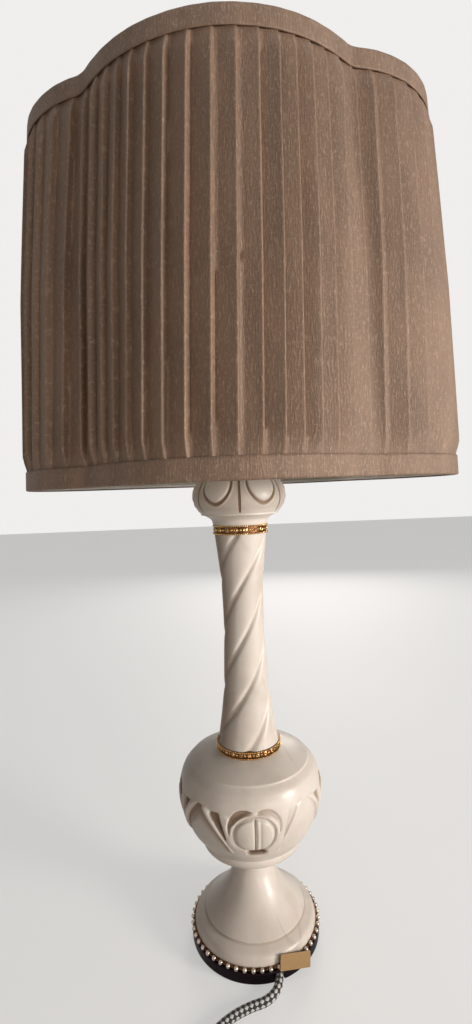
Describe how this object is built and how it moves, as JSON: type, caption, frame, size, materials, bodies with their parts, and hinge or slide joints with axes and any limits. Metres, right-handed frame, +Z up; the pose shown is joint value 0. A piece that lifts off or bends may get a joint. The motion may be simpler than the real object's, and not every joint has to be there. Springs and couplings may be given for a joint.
{
  "type": "column table lamp",
  "caption": "Table lamp with a spiral-fluted alabaster column on a carved vase and bell foot, and an oblong pleated shade with scalloped corners.",
  "frame": {"origin": "centre of the base's underside, on the surface that the lamp stands on", "axes": "+Z up along the column, -Y the front, +X to the right seen from the front"},
  "size_m": [0.4088, 0.3838, 0.7907],
  "materials": {
    "alabaster": "polished veined alabaster",
    "polished_brass": "polished",
    "antique_brass": "antiqued, pressed ornament",
    "dark_bronze": "dark bronze lacquer",
    "felt": "felt",
    "bead_strip": "silvered beads on a brown brass strip",
    "label_card": "plain gold card",
    "zinc_steel": "zinc plated",
    "socket_brass": "satin",
    "bulb_cap_metal": "satin",
    "fibre_sleeve": "waxed fibre",
    "socket_plastic": "moulded phenolic",
    "knob_plastic": "moulded phenolic",
    "bulb_glass": "frosted",
    "shade_lining": "off-white lining",
    "pleated_silk": "slubbed taupe silk, knife pleated",
    "trim_silk": "slubbed taupe silk, flat",
    "frame_wire": "off-white coated wire",
    "cloth_cord": "black and white braid",
    "plug_plastic": "moulded",
    "plug_metal": "bright"
  },
  "bodies": {
    "lamp": {"foot": "alabaster", "vase": "alabaster", "spiral_column": "alabaster", "capital": "alabaster", "capital_cap": "polished_brass", "harp_saddle": "polished_brass", "harp": "polished_brass", "lower_ring": "antique_brass", "upper_ring": "antique_brass", "base_plate": "dark_bronze", "felt_pad": "felt", "bead_ring": "bead_strip", "name_plate": "label_card", "threaded_rod": "zinc_steel", "base_washer": "zinc_steel", "lock_washer": "zinc_steel", "base_nut": "zinc_steel", "column_nut": "zinc_steel", "socket_cap": "socket_brass", "socket_shell": "socket_brass", "screw_shell": "socket_brass", "insulating_sleeve": "fibre_sleeve", "socket_core": "socket_plastic", "inner_lead": "cloth_cord", "cord_run": "cloth_cord", "cord_coil": "cloth_cord", "plug_body": "plug_plastic", "plug_blades": "plug_metal"},
    "shade": {"liner": "shade_lining", "pleated_cover": "pleated_silk", "bottom_trim": "trim_silk", "top_trim": "trim_silk", "top_ring_wire": "frame_wire", "bottom_ring_wire": "frame_wire", "frame_ribs": "frame_wire", "spider": "frame_wire"},
    "finial": {"finial": "polished_brass"},
    "switch": {"switch_knob": "knob_plastic"},
    "bulb": {"bulb_cap": "bulb_cap_metal", "bulb_glass": "bulb_glass"},
    "ferrule_right": {"ferrule_right": "polished_brass"},
    "ferrule_left": {"ferrule_left": "polished_brass"}
  },
  "joints": [
    {"name": "shade_swivel", "type": "hinge", "parent": "lamp", "child": "shade", "pos_m": [0, 0, 0.7555], "axis": [0, 0, 1], "continuous": true},
    {"name": "finial_turn", "type": "hinge", "parent": "lamp", "child": "finial", "pos_m": [0, 0, 0.765], "axis": [0, 0, 1], "continuous": true},
    {"name": "switch_turn", "type": "hinge", "parent": "lamp", "child": "switch", "pos_m": [0, -0.025, 0.497], "axis": [0, -1, 0], "continuous": true},
    {"name": "bulb_turn", "type": "hinge", "parent": "lamp", "child": "bulb", "pos_m": [0, 0, 0.51], "axis": [0, 0, 1], "continuous": true},
    {"name": "ferrule_right_lift", "type": "slide", "parent": "lamp", "child": "ferrule_right", "axis": [0, 0, 1], "range_m": [0, 0.008]},
    {"name": "ferrule_left_lift", "type": "slide", "parent": "lamp", "child": "ferrule_left", "axis": [0, 0, 1], "range_m": [0, 0.008]}
  ]
}
